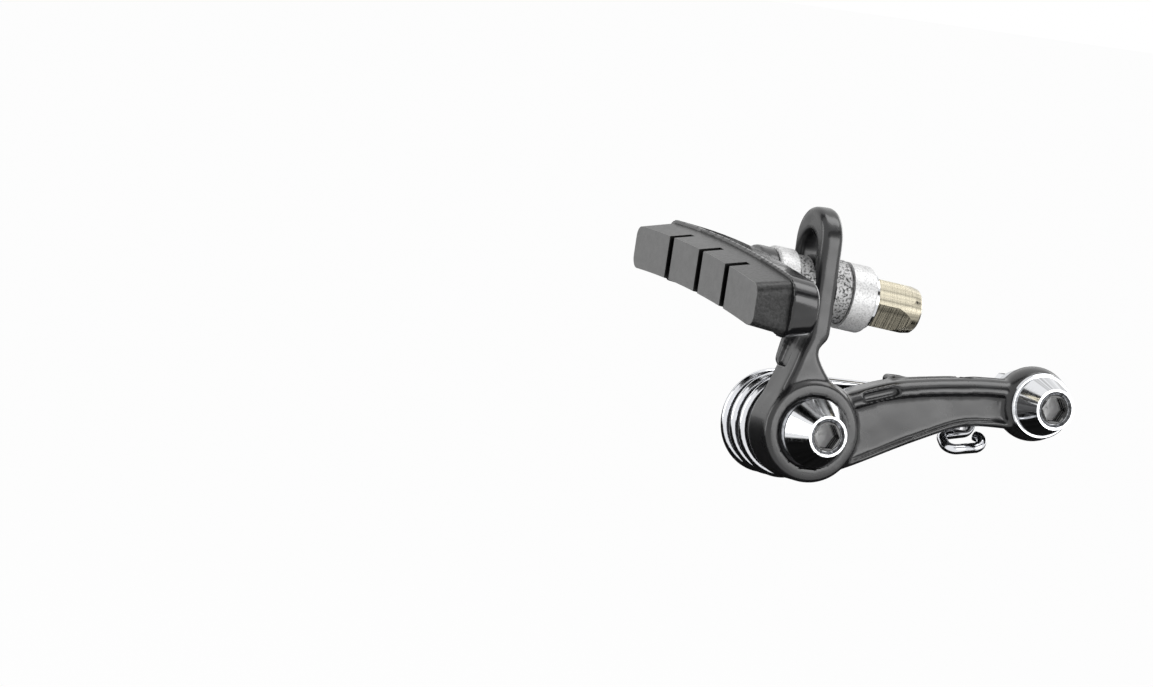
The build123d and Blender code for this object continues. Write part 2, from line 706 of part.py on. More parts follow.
def pad_shoe():
    back = shoe_front_x + shoe_depth
    body = shoe_section_bar(shoe_front_x, back, shoe_front_h, shoe_back_h, shoe_length)
    body = fillet(end_corners(body, shoe_length / 2), shoe_front_h * 0.36)
    rims = [e for e in body.edges() if e.center().X > back - 0.1]
    body = fillet(rims, shoe_round)
    body -= rubber_seat()
    for side in (-1, 1):
        middle_y = side * (back_pocket_inner + back_pocket_outer) / 2
        length = back_pocket_outer - back_pocket_inner
        pocket_h = shoe_back_h - 2 * shoe_web_w
        pocket = slab_x(Location((middle_y, 0)) * RectangleRounded(length, pocket_h, back_pocket_round),
                        back - back_pocket_depth, back + 1)
        drop = rim_radius - sqrt(rim_radius ** 2 - middle_y ** 2)
        body -= Location((0, 0, -drop)) * Rot(-degrees(middle_y / rim_radius), 0, 0) * pocket
    body = shoe_place * pad_slide() * body
    body += stud_place * slab_x(Circle(shoe_boss_d / 2), back - shoe_boss_root, -inner_cup_end)
    hole = slab_x(Circle(m6_r + stud_clearance), -face_at, 0)
    head_low = shoe_front_x + rubber_seat_depth
    head_room = slab_x(Circle(stud_head_d / 2 + stud_clearance), head_low, head_low + stud_head_t)
    return body - stud_place * hole - shoe_place * head_room


def pad_stud():
    head_low = shoe_front_x + rubber_seat_depth
    high = outer_cup_end + flat_washer_t + nut_length - nut_socket_depth
    head = shoe_place * slab_x(Circle(stud_head_d / 2), head_low + stud_clearance, head_low + stud_head_t)
    shank = stud_place * slab_x(Circle(m6_r), head_low + stud_head_t / 2, high)
    return head + shank


nodes = {
    "brake_arm": brake_arm,
    "pivot_bush": pivot_bush,
    "pivot_bolt": pivot_bolt,
    "pivot_washer": pivot_washer,
    "return_spring": return_spring,
    "tension_screw": tension_screw,
    "anchor_bolt": anchor_bolt,
    "anchor_ring_washer": anchor_ring_washer,
    "cable_clamp_washer": cable_clamp_washer,
    "anchor_nut": anchor_nut,
    "inner_dome_washer": lambda: dome_washer(-1),
    "outer_dome_washer": lambda: dome_washer(1),
    "inner_cup_washer": lambda: cup_washer(-1, inner_cup_end),
    "outer_cup_washer": lambda: cup_washer(1, outer_cup_end),
    "stud_flat_washer": stud_flat_washer,
    "stud_nut": stud_nut,
    "pad_stud": pad_stud,
    "pad_shoe": pad_shoe,
    "pad_rubber": pad_rubber,
}

os.makedirs("parts", exist_ok=True)
for name, make in nodes.items():
    shape = make()
    shape.label = name
    export_step(shape, f"parts/{name}.step")
    print(name, round(shape.volume, 1))
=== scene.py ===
# %% [markdown]
# # A cantilever brake arm in black gloss paint, chrome and rubber
# The rigid pieces of this brake are already modelled at their real size. This script loads them as a fixed
# frame, in metres, gives each one its finish, and adds the pieces that need more than a plain solid.

# %% Load the frame
import bpy
from math import pi, radians
from mathutils import Matrix, Vector


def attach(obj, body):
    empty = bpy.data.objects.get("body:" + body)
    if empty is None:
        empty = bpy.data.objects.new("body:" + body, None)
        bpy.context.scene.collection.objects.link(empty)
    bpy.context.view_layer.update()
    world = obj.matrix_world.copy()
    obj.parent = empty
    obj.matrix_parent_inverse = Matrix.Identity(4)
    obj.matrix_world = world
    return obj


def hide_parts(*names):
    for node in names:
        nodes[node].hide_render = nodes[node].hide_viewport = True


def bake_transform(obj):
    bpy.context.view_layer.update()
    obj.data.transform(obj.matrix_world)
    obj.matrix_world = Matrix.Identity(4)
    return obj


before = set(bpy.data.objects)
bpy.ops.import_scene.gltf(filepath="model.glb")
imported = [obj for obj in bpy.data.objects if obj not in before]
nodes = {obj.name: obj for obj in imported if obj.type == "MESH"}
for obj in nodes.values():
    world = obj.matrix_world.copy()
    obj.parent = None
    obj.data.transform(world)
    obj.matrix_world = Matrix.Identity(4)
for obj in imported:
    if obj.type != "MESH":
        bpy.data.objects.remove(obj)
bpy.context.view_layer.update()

MM = 0.001
scene = bpy.context.scene
scene.view_settings.view_transform = "Standard"

# %% [markdown]
# ## Camera
# The picture was taken with a long lens from far away, so that round things stay round at every depth. The
# camera stands 1.6 m off, about 25 degrees to the left of the pivot axis and 3 degrees above it, and it is
# rolled by 8 degrees, which lets the upright plate lean to the right. It aims at a point beside the brake,
# because the brake stands right of the picture's middle.

# %% Place the camera
camera_aim = Vector((-55.164, 0.0, 12.525)) * MM
camera_place = Vector((-669.051, -1453.092, 97.992)) * MM
camera_roll = radians(8.092)
camera_lens = 239.8        # millimetres
camera_sensor = 36         # millimetres

bpy.ops.object.camera_add(location=camera_place)
camera = bpy.context.object
camera.data.lens = camera_lens
camera.data.sensor_width = camera_sensor
camera.data.clip_end = 50
looking = (camera_aim - camera_place).to_track_quat("-Z", "Y").to_matrix().to_4x4()
camera.matrix_world = Matrix.Translation(camera_place) @ looking @ Matrix.Rotation(camera_roll, 4, "Z")
scene.camera = camera
print("camera distance", round((camera_aim - camera_place).length, 3))

# %% [markdown]
# ## Small helpers for node trees
# A material is a tree of nodes. These helpers keep the cells below short: each adds one node and joins its
# inputs. An input that is a plain number is set on the node's own socket, and one that comes from another
# node is linked.

# %% Node helpers


def add(tree, kind, values=None, **settings):
    """A node of the given kind; values go to its inputs by name or number."""
    node = tree.nodes.new("ShaderNode" + kind)
    for name, value in settings.items():
        setattr(node, name, value)
    for key, value in (values or {}).items():
        feed(tree, value, node.inputs[key])
    return node


def feed(tree, value, socket):
    """Links another node's output to a socket, or sets a plain value on it."""
    if isinstance(value, bpy.types.NodeSocket):
        tree.links.new(value, socket)
    else:
        socket.default_value = value


def calc(tree, operation, *values, clamp=False):
    """The result of one Math node."""
    return add(tree, "Math", dict(enumerate(values)), operation=operation, use_clamp=clamp).outputs[0]


def dot(tree, vector, direction):
    """The length of a vector along a direction."""
    return add(tree, "VectorMath", {0: vector, 1: direction}, operation="DOT_PRODUCT").outputs["Value"]


def map_range(tree, value, low, high, to_low=0.0, to_high=1.0):
    """Maps low and high to two new values, and holds them outside that range."""
    node = add(tree, "MapRange", {"Value": value, "From Min": low, "From Max": high,
                                  "To Min": to_low, "To Max": to_high})
    return node.outputs["Result"]


def mix_colours(tree, factor, first, second, blend_type="MIX"):
    """The colour between two colours, or their product with blend_type MULTIPLY."""
    node = add(tree, "Mix", {0: factor, 6: first, 7: second}, data_type="RGBA", blend_type=blend_type)
    return node.outputs[2]


def ramp(tree, factor, *stops):
    """A grey scale that maps a factor to the given (position, level) stops."""
    node = add(tree, "ValToRGB", {"Fac": factor})
    elements = node.color_ramp.elements
    while len(elements) < len(stops):
        elements.new(0.5)
    for element, (position, level) in zip(elements, stops):
        element.position = position
        element.color = (level, level, level, 1)
    return node.outputs["Color"]


# %% [markdown]
# ## Small helpers for materials
# A finish starts with a Principled shader, which holds every plain number on its own sockets. A height can
# then be turned into a bump on it.

# %% Material helpers


def new_material(name):
    """A fresh material with its node tree and an output node."""
    material = bpy.data.materials.new(name)
    material.use_nodes = True
    tree = material.node_tree
    tree.nodes.clear()
    return material, tree, add(tree, "OutputMaterial")


def surface_finish(name, colour, metallic=0.0, roughness=0.5, specular=0.5, coat=0.0, coat_roughness=0.03):
    """A material with one Principled shader; returns it with its tree and that shader."""
    material, tree, output = new_material(name)
    shader = add(tree, "BsdfPrincipled", {"Base Color": (*colour, 1), "Metallic": metallic,
                                          "Roughness": roughness, "Specular IOR Level": specular,
                                          "Coat Weight": coat, "Coat Roughness": coat_roughness})
    feed(tree, shader.outputs["BSDF"], output.inputs["Surface"])
    return material, tree, shader


def bump_from(tree, height, shader, distance):
    """Turns a height into a bump on the shader; distance is in metres."""
    bump = add(tree, "Bump", {"Strength": 1.0, "Distance": distance, "Height": height})
    feed(tree, bump.outputs["Normal"], shader.inputs["Normal"])
    return bump


# %% [markdown]
# ## Floor and background
# The brake was cut out on white. The floor and the world are therefore plain white to the camera and in
# reflections, by the Light Path node, so that no lamp has to burn the picture white. A share of the floor
# stays lit, which keeps the object's soft shadow.

# %% Floor
floor_z = -0.12
floor_size = 60            # metres, so that its edge lies out of sight
floor_grey = 0.9
floor_glow = 0.97          # the rest of the floor's brightness comes from the lamps, with the shadow in it
pure_white = (1, 1, 1, 1)

bpy.ops.object.select_all(action="DESELECT")
bpy.ops.mesh.primitive_plane_add(size=floor_size, location=(0, 0, floor_z))
floor = bpy.context.object
floor.name = "floor"


def background_share(tree, level):
    """A level for rays that see the background directly, in a reflection or through glass, otherwise 0."""
    path = add(tree, "LightPath")
    camera_or_glossy = calc(tree, "MAXIMUM", path.outputs["Is Camera Ray"], path.outputs["Is Glossy Ray"])
    any_ray = calc(tree, "MAXIMUM", camera_or_glossy, path.outputs["Is Transmission Ray"])
    return calc(tree, "MULTIPLY", any_ray, level)


def two_looks(tree, output, level, lit, seen):
    """Shows lit to the lamps' light and seen to the rays that look at the background."""
    share = background_share(tree, level)
    mix = add(tree, "MixShader", {"Fac": share, 1: lit.outputs[0], 2: seen.outputs[0]})
    feed(tree, mix.outputs[0], output.inputs["Surface"])


floor_white, tree, output = new_material("floor_white")
lit = add(tree, "BsdfDiffuse", {"Color": (floor_grey, floor_grey, floor_grey, 1)})
two_looks(tree, output, floor_glow, lit, add(tree, "Emission"))
floor.data.materials.append(floor_white)
print("floor at", floor_z)

# %% [markdown]
# The world gives a low, even light from all sides, and is white to the same rays as the floor.

# %% World
room_level = 0.4

world = bpy.data.worlds.new("studio")
scene.world = world
world.use_nodes = True
tree = world.node_tree
tree.nodes.clear()
room = add(tree, "Background", {"Color": pure_white, "Strength": room_level})
seen = add(tree, "Background", {"Color": pure_white, "Strength": 1.0})
two_looks(tree, add(tree, "OutputWorld"), 1.0, room, seen)
print("room level", room_level)

# %% [markdown]
# ## Lamps and dark cards
# Gloss paint and chrome show what stands around them more than their own colour. A studio photographer
# lights them with a few large soft boxes, and sets up dark cards whose reflections draw the dark bands that
# make chrome look like chrome. Each lamp or card is placed by its direction as seen from the brake. The
# cards are seen in reflections only, so they take no light from the scene.

# %% Soft boxes
brake_middle = Vector((12, 8, 14)) * MM
watts_per_level = 4        # for each square metre of a soft box


def around_brake(towards, distance):
    """A place in a direction from the brake, and the turn that makes a flat thing there face the brake."""
    place = brake_middle + Vector(towards).normalized() * distance
    return place, (place - brake_middle).to_track_quat("Z", "Y")


def soft_box(name, towards, distance, width, height, level):
    """A soft box of the given size in metres."""
    place, turn = around_brake(towards, distance)
    bpy.ops.object.light_add(type="AREA", location=place)
    lamp = bpy.context.object
    lamp.name = name
    lamp.data.shape = "RECTANGLE"
    lamp.data.size = width
    lamp.data.size_y = height
    lamp.data.energy = level * watts_per_level * width * height
    lamp.rotation_mode = "QUATERNION"
    lamp.rotation_quaternion = turn
    lamp.visible_camera = False


soft_box("box_front", towards=(0.46, -0.9, 0.15), distance=0.7, width=0.42, height=0.34, level=2.5)
soft_box("box_above", towards=(0.35, -0.1, 1.0), distance=0.6, width=0.3, height=0.45, level=2.2)
soft_box("box_left", towards=(-1.0, 0.3, 0.2), distance=0.7, width=0.25, height=0.5, level=2.0)
soft_box("box_right", towards=(1.0, 0.6, 0.3), distance=0.7, width=0.3, height=0.5, level=1.6)

# %% [markdown]
# The cards hang below the brake, behind it, up to the left and above the front box.

# %% Dark cards
card_black, tree, output = new_material("card_black")
black_cloth = add(tree, "BsdfDiffuse", {"Color": (0.01, 0.01, 0.01, 1)})
feed(tree, black_cloth.outputs[0], output.inputs["Surface"])


def dark_card(name, towards, distance, width, height):
    """A black card of the given size in metres, which only reflections show."""
    place, turn = around_brake(towards, distance)
    bpy.ops.mesh.primitive_plane_add(size=1, location=place)
    card = bpy.context.object
    card.name = name
    card.rotation_mode = "QUATERNION"
    card.rotation_quaternion = turn
    card.scale = (width, height, 1)
    card.data.materials.append(card_black)
    for ray in ("camera", "diffuse", "shadow", "transmission", "volume_scatter"):
        setattr(card, "visible_" + ray, False)


dark_card("card_below", towards=(0.1, 0.35, -1.0), distance=0.1, width=0.6, height=0.6)
dark_card("card_upper_left", towards=(-0.55, 0.35, 0.8), distance=0.5, width=0.12, height=0.5)
dark_card("card_behind", towards=(0.25, 1.0, 0.05), distance=0.6, width=0.5, height=0.22)
dark_card("card_front_top", towards=(0.42, -0.75, 0.62), distance=0.6, width=0.9, height=0.14)

# %% [markdown]
# ## Effects that several finishes share
# Some effects belong to more than one finish: the grain of blasted or moulded surfaces, the faint waviness
# of paint, the streaks that turning leaves round an axis, screw threads, and the look of a bolt's socket.
# Each is a node group, built once and placed in the materials with its own numbers.

# %% Group helpers


def effect_group(name, inputs, outputs):
    """A node group that takes a position and some numbers; returns the tree and its two end nodes."""
    group = bpy.data.node_groups.new(name, "ShaderNodeTree")
    group.interface.new_socket(name="Vector", in_out="INPUT", socket_type="NodeSocketVector")
    for label, value in inputs.items():
        socket = group.interface.new_socket(name=label, in_out="INPUT", socket_type="NodeSocketFloat")
        socket.default_value = value
    for label in outputs:
        group.interface.new_socket(name=label, in_out="OUTPUT", socket_type="NodeSocketFloat")
    inside = group.nodes.new("NodeGroupInput").outputs
    outside = group.nodes.new("NodeGroupOutput").inputs
    return group, inside, outside


def use_group(tree, group, position, values=None):
    """Places a group in a material and gives it the position on the piece; returns its outputs."""
    node = tree.nodes.new("ShaderNodeGroup")
    node.node_tree = group
    for key, value in {"Vector": position, **(values or {})}.items():
        feed(tree, value, node.inputs[key])
    return node.outputs


def on_piece(tree, origin=(0, 0, 0), turn=(0, 0, 0)):
    """Object coordinates, moved and turned so that the given line is the pattern's own Z axis."""
    place = add(tree, "TexCoord").outputs["Object"]
    if not any(origin) and not any(turn):
        return place
    moved = add(tree, "VectorMath", {0: place, 1: Vector(origin)}, operation="SUBTRACT")
    return add(tree, "Mapping", {"Vector": moved.outputs[0], "Rotation": turn}).outputs["Vector"]


def across_axis(tree, parts):
    """The part of a position that lies across the Z axis."""
    return add(tree, "CombineXYZ", {"X": parts["X"], "Y": parts["Y"]}).outputs[0]


def axis_distance(tree, parts):
    """The distance of a position from the Z axis."""
    return add(tree, "VectorMath", {0: across_axis(tree, parts)}, operation="LENGTH").outputs["Value"]


# %% [markdown]
# Grain is plain noise. Its contrast is stretched round the middle, so that a colour can be made of nearly
# separate dark and bright specks, while the bump uses the noise as it is.

# %% Grain
grain, inside, outside = effect_group("grain", {"Scale": 3000.0, "Contrast": 1.0}, ["Mask", "Height"])
coarse = add(grain, "TexNoise", {"Vector": inside["Vector"], "Scale": inside["Scale"],
                                 "Detail": 2.0, "Roughness": 0.6}).outputs["Fac"]
stretched = calc(grain, "MULTIPLY", calc(grain, "SUBTRACT", coarse, 0.5), inside["Contrast"])
feed(grain, calc(grain, "ADD", stretched, 0.5, clamp=True), outside["Mask"])
feed(grain, coarse, outside["Height"])
print("group", grain.name)

# %% [markdown]
# Paint is smooth but not flat. One noise gives its fine waves, and a slower one gives the places where it is
# a little duller.

# %% Paint waviness
paint_wave, inside, outside = effect_group("paint_wave", {"Scale": 500.0}, ["Height", "Dull"])
waves = add(paint_wave, "TexNoise", {"Vector": inside["Vector"], "Scale": inside["Scale"],
                                     "Detail": 1.0, "Roughness": 0.4})
smears = add(paint_wave, "TexNoise", {"Vector": inside["Vector"], "Scale": 90.0, "Detail": 3.0})
feed(paint_wave, waves.outputs["Fac"], outside["Height"])
feed(paint_wave, smears.outputs["Fac"], outside["Dull"])
print("group", paint_wave.name)

# %% [markdown]
# The direction from the axis is the same all along a line that runs towards the axis, so noise that depends
# on this direction alone gives streaks. Noise that depends on the height along the axis alone gives rings.

# %% Turned streaks
turned_streaks, inside, outside = effect_group("turned_streaks", {"Count": 14.0}, ["Mask", "Rings"])
parts = add(turned_streaks, "SeparateXYZ", {0: inside["Vector"]}).outputs
direction = add(turned_streaks, "VectorMath", {0: across_axis(turned_streaks, parts)}, operation="NORMALIZE")
streaks = add(turned_streaks, "TexNoise", {"Vector": direction.outputs[0], "Scale": inside["Count"],
                                           "Detail": 4.0, "Roughness": 0.65})
rings = add(turned_streaks, "TexNoise", {"W": parts["Z"], "Scale": 2500.0, "Detail": 2.0},
            noise_dimensions="1D")
feed(turned_streaks, streaks.outputs["Fac"], outside["Mask"])
feed(turned_streaks, rings.outputs["Fac"], outside["Rings"])
print("group", turned_streaks.name)

# %% [markdown]
# A thread's ridge climbs by one pitch for each turn. The angle round the axis, as a share of a turn, is
# added to the height in pitches, and the sum goes up and down between ridge and root.

# %% Screw thread
m6_pitch = 1.0 * MM
m6_thread_radius = 3.05 * MM       # just outside an M6 shank
thread_ridges, inside, outside = effect_group(
    "thread_ridges", {"Pitch": m6_pitch, "Radius": m6_thread_radius}, ["Height", "Mask"])
parts = add(thread_ridges, "SeparateXYZ", {0: inside["Vector"]}).outputs
angle = calc(thread_ridges, "ARCTAN2", parts["Y"], parts["X"])
turns = calc(thread_ridges, "MULTIPLY", angle, 1 / (2 * pi))
helix = calc(thread_ridges, "ADD", turns, calc(thread_ridges, "DIVIDE", parts["Z"], inside["Pitch"]))
ridge = calc(thread_ridges, "PINGPONG", calc(thread_ridges, "MULTIPLY", helix, 2.0), 1.0)
on_shank = calc(thread_ridges, "LESS_THAN", axis_distance(thread_ridges, parts), inside["Radius"])
feed(thread_ridges, ridge, outside["Height"])
feed(thread_ridges, on_shank, outside["Mask"])
print("group", thread_ridges.name)

# %% [markdown]
# A bolt's socket gets painted shade on its six walls and a painted light, near white, at its bottom, and a
# narrow chamfer leads into it. The group tells these apart by the distance from the axis and the depth below
# the bolt's tip.

# %% Bolt socket
# The depths below set where the walls' painted shade and the bottom's painted light come in.
socket_radius = 3.15 * MM
wall_starts = (0.2 * MM, 0.5 * MM)         # depths between which the wall's shade comes in
bottom_starts = (3.6 * MM, 3.7 * MM)
chamfer_edges = (3.0 * MM, 3.75 * MM)      # distances from the axis

socket_painted_light_and_chamfer, inside, outside = effect_group("socket_painted_light_and_chamfer", {"Tip": 0.0}, ["Wall", "Bottom", "Height"])
parts = add(socket_painted_light_and_chamfer, "SeparateXYZ", {0: inside["Vector"]}).outputs
distance = axis_distance(socket_painted_light_and_chamfer, parts)
below_tip = calc(socket_painted_light_and_chamfer, "SUBTRACT", parts["Z"], inside["Tip"])
within = calc(socket_painted_light_and_chamfer, "LESS_THAN", distance, socket_radius)
# The bottom gets painted light; the walls, between the tip and the bottom, get painted shade.
bottom = calc(socket_painted_light_and_chamfer, "MULTIPLY", within, map_range(socket_painted_light_and_chamfer, below_tip, *bottom_starts))
inner = calc(socket_painted_light_and_chamfer, "MULTIPLY", within, map_range(socket_painted_light_and_chamfer, below_tip, *wall_starts))
feed(socket_painted_light_and_chamfer, calc(socket_painted_light_and_chamfer, "SUBTRACT", inner, bottom), outside["Wall"])
feed(socket_painted_light_and_chamfer, bottom, outside["Bottom"])
feed(socket_painted_light_and_chamfer, map_range(socket_painted_light_and_chamfer, distance, *chamfer_edges), outside["Height"])
print("group", socket_painted_light_and_chamfer.name)

# %% [markdown]
# ## Gloss black paint
# The forged arm and the shoe wear thick black enamel. Its colour is nearly black, and all that the eye sees
# is the reflection of the soft boxes over it, a little wavy as paint always is. A clear coat over a rougher
# base gives the bright core and the soft edge of such reflections.

# %% Arm and shoe paint
wave_depth = 0.02 * MM
swell_share = 30.0         # the slow swell of a forging's faces, as a multiple of the fine waviness


def black_paint(name, colour, roughness):
    """Black enamel with fine waves, a slow swell and slightly duller places."""
    material, tree, shader = surface_finish(name, colour, roughness=roughness, specular=0.6, coat=0.25)
    place = on_piece(tree)
    wave = use_group(tree, paint_wave, place, {"Scale": 450.0})
    dull = ramp(tree, wave["Dull"], (0.3, roughness * 0.8), (0.75, roughness * 1.3))
    feed(tree, dull, shader.inputs["Roughness"])
    swell = use_group(tree, grain, place, {"Scale": 55.0, "Contrast": 1.0})
    relief = calc(tree, "MULTIPLY_ADD", swell["Height"], swell_share, wave["Height"])
    bump_from(tree, relief, shader, wave_depth)
    return material


arm_paint = black_paint("arm_paint", (0.012, 0.012, 0.013), roughness=0.26)
shoe_paint = black_paint("shoe_paint", (0.009, 0.009, 0.01), roughness=0.2)
print("paints", arm_paint.name, shoe_paint.name)

# %% [markdown]
# ## Rubber
# The front of the blocks is ground flat and dull, and the moulded sides are darker and glossier, with the
# fine pits of the mould. The walls and floors of the three grooves are out of the light, and painted shade
# makes them nearly black. Each region is picked by its place on the piece: by the depth behind the ground
# face, and by the distance along the pad.

# %% Where the rubber's regions lie
face_point = Vector((-27.3268, 14.4342, 30.7767)) * MM
face_normal = Vector((-0.99951, 0.011469, -0.029128))
face_blend = (0.35 * MM, 0.12 * MM)        # depths between which the side's look turns into the face's
pad_along = Vector((0.0087, 0.99556, 0.0937))
along_at_face_point = 5.5 * MM
groove_places = (14.2 * MM, -2.1 * MM, -16.7 * MM)
groove_half_width = 1.25 * MM
groove_depth = 4.65 * MM
# Painted shade: the colour laid on the grooves' walls and floors, which are out of the light.
groove_painted_shade = (0.003, 0.003, 0.003, 1)
pit_depth = 0.06 * MM


def groove_shade_mask(tree, place, behind):
    """1 on the walls and the floors of the grooves, where shade is painted, otherwise 0."""
    along = dot(tree, place, pad_along)
    pad_middle = pad_along.dot(face_point) - along_at_face_point
    first, *others = [calc(tree, "COMPARE", along, groove + pad_middle, groove_half_width)
                      for groove in groove_places]
    for other in others:
        first = calc(tree, "MAXIMUM", first, other)
    return calc(tree, "MULTIPLY", first, calc(tree, "LESS_THAN", behind, groove_depth))


# %% [markdown]
# The finish lays these regions over each other: first the sides, then the ground face, then the painted shade
# of the grooves.

# %% Rubber finish
pad_rubber, tree, shader = surface_finish("pad_rubber", (0.17, 0.17, 0.175), roughness=0.55, specular=0.45)
place = on_piece(tree)
behind = calc(tree, "SUBTRACT", face_point.dot(face_normal), dot(tree, place, face_normal))
ground = map_range(tree, behind, *face_blend)
pits = use_group(tree, grain, place, {"Scale": 1500.0, "Contrast": 3.0})
dust = use_group(tree, grain, place, {"Scale": 500.0, "Contrast": 1.2})
face_tone = ramp(tree, dust["Mask"], (0.0, 0.2), (1.0, 0.26))
side_tone = ramp(tree, pits["Mask"], (0.0, 0.012), (1.0, 0.05))
tone = mix_colours(tree, ground, side_tone, face_tone)
# Painted shade: the grooves' walls and floors are coloured nearly black here.
shaded = mix_colours(tree, groove_shade_mask(tree, place, behind), tone, groove_painted_shade)
feed(tree, shaded, shader.inputs["Base Color"])
feed(tree, map_range(tree, ground, 0.0, 1.0, 0.32, 0.62), shader.inputs["Roughness"])
bump_from(tree, pits["Height"], shader, pit_depth)
print("rubber", pad_rubber.name)

# %% [markdown]
# ## Blasted aluminium
# The cup washers are bead blasted: a bright, even, sparkling grey without any sharp reflection. The domed
# washers between them are darker and coarser. Both use the grain group, as colour and as a fine bump.

# %% Cups and domes


def blasted(name, dark, bright, scale, contrast, depth):
    """Blasted metal whose specks lie between a dark and a bright grey."""
    material, tree, shader = surface_finish(name, (0.7, 0.7, 0.72), metallic=0.55, roughness=0.5)
    speck = use_group(tree, grain, on_piece(tree), {"Scale": scale, "Contrast": contrast})
    feed(tree, ramp(tree, speck["Mask"], (0.15, dark), (0.6, bright)), shader.inputs["Base Color"])
    bump_from(tree, speck["Height"], shader, depth)
    return material


cup_blasted = blasted("cup_blasted", dark=0.5, bright=0.8, scale=2600.0, contrast=1.8, depth=0.03 * MM)
dome_blasted = blasted("dome_blasted", dark=0.06, bright=0.5, scale=2000.0, contrast=3.0, depth=0.09 * MM)
print("blasted", cup_blasted.name, dome_blasted.name)

# %% [markdown]
# ## Chrome, nickel and steel
# Polished metal is a mirror with a tint. The bolts, washers and nuts were turned, so fine streaks run round
# or away from their axis. A threaded piece also gets the ridges of its thread, and a bolt with a socket gets
# the chamfer of that socket, with painted shade on its walls and painted light on its bottom.

# %% Metal that was turned
thread_height = 0.4 * MM
chamfer_height = 0.6 * MM
# Painted shade for a socket's walls, and a painted light, near white and not metallic, for its bottom.
painted_wall_shade = (0.05, 0.05, 0.05, 1)
painted_bottom_light = (0.95, 0.95, 0.95, 1)


def socket_painted_shade_and_light(tree, look, shader, colour):
    """Lays painted shade on a socket's walls and painted light on its bottom over a bolt's colour."""
    colour = mix_colours(tree, look["Wall"], colour, painted_wall_shade)
    feed(tree, calc(tree, "SUBTRACT", 1.0, look["Bottom"]), shader.inputs["Metallic"])
    return mix_colours(tree, look["Bottom"], colour, painted_bottom_light)


def turned_metal(name, colour, roughness, axis, turn, count, streak_dark, thread=False, tip=None):
    """A turned metal; axis is a point on its axis, and turn brings that axis to Z."""
    material, tree, shader = surface_finish(name, colour, metallic=1.0, roughness=roughness)
    place = on_piece(tree, axis, turn)
    streak = use_group(tree, turned_streaks, place, {"Count": count})
    shade = ramp(tree, streak["Mask"], (0.32, streak_dark), (0.55, 1.0))
    tint = mix_colours(tree, 1.0, (*colour, 1), shade, blend_type="MULTIPLY")
    rough = ramp(tree, streak["Rings"], (0.3, roughness * 0.7), (0.7, roughness * 1.6))
    feed(tree, rough, shader.inputs["Roughness"])
    if thread:
        ridges = use_group(tree, thread_ridges, place)
        relief = calc(tree, "MULTIPLY", ridges["Height"], ridges["Mask"])
        bump = bump_from(tree, relief, shader, thread_height)
    if tip is not None:
        look = use_group(tree, socket_painted_light_and_chamfer, place, {"Tip": tip})
        tint = socket_painted_shade_and_light(tree, look, shader, tint)
        chamfer = add(tree, "Bump", {"Distance": chamfer_height, "Height": look["Height"]})
        feed(tree, chamfer.outputs["Normal"], bump.inputs["Normal"])
    feed(tree, tint, shader.inputs["Base Color"])
    return material


# %% [markdown]
# Each metal needs a point on its piece's axis. The pivot, the anchor bolt and the spring's screw lie along
# the frame's own axes, and the stud leans by the pad's camber.

# %% Bolts, washers and screw
pivot_axis = Vector((0, 0, 0))
anchor_axis = Vector((52, 0, 11)) * MM
screw_axis = Vector((36, 5, 0)) * MM
pivot_tip = -9.3 * MM
anchor_tip = -7.6 * MM
y_to_z = (radians(90), 0, 0)
chrome = (0.8, 0.81, 0.83)

pivot_chrome = turned_metal("pivot_chrome", chrome, 0.1, pivot_axis, y_to_z, count=5.0, streak_dark=0.25,
                            thread=True, tip=pivot_tip)
anchor_chrome = turned_metal("anchor_chrome", chrome, 0.1, anchor_axis, y_to_z, count=4.0, streak_dark=0.3,
                             thread=True, tip=anchor_tip)
washer_chrome = turned_metal("washer_chrome", (0.66, 0.67, 0.69), 0.12, anchor_axis, y_to_z, count=2.0,
                             streak_dark=0.8)
bush_steel = turned_metal("bush_steel", (0.6, 0.6, 0.6), 0.3, pivot_axis, y_to_z, count=3.0, streak_dark=0.8)
screw_steel = turned_metal("screw_steel", (0.45, 0.45, 0.46), 0.25, screw_axis, (0, 0, 0), count=3.0,
                           streak_dark=0.7)
print("metals", pivot_chrome.name, anchor_chrome.name, washer_chrome.name, bush_steel.name, screw_steel.name)

# %% [markdown]
# The nut is the only piece with a golden tint. Its streaks and the stud's thread run round the leaning axis.

# %% Nut and stud
pad_camber = 5.3           # degrees
stud_point = Vector((-0.95, 6.8, 29.4)) * MM
stud_to_z = (0, radians(-90 - pad_camber), 0)

nut_nickel = turned_metal("nut_nickel", (0.66, 0.61, 0.48), 0.22, stud_point, stud_to_z, count=3.2,
                          streak_dark=0.35)
stud_steel = turned_metal("stud_steel", (0.66, 0.66, 0.66), 0.3, stud_point, stud_to_z, count=3.0,
                          streak_dark=0.8, thread=True)
print("metals", nut_nickel.name, stud_steel.name)

# %% [markdown]
# Spring wire is drawn, not turned. It is nearly a mirror, with fine changes in how sharply it reflects.

# %% Spring wire
drawn_depth = 0.01 * MM
spring_wire, tree, shader = surface_finish("spring_wire", (0.78, 0.79, 0.82), metallic=1.0, roughness=0.1)
drawn = use_group(tree, grain, on_piece(tree), {"Scale": 1200.0, "Contrast": 2.0})
feed(tree, ramp(tree, drawn["Mask"], (0.2, 0.06), (0.9, 0.2)), shader.inputs["Roughness"])
bump_from(tree, drawn["Height"], shader, drawn_depth)
print("wire", spring_wire.name)

# %% [markdown]
# ## Finishes on the loaded pieces
# The loaded pieces keep their shape. Each one only gets its new material in its own slot.

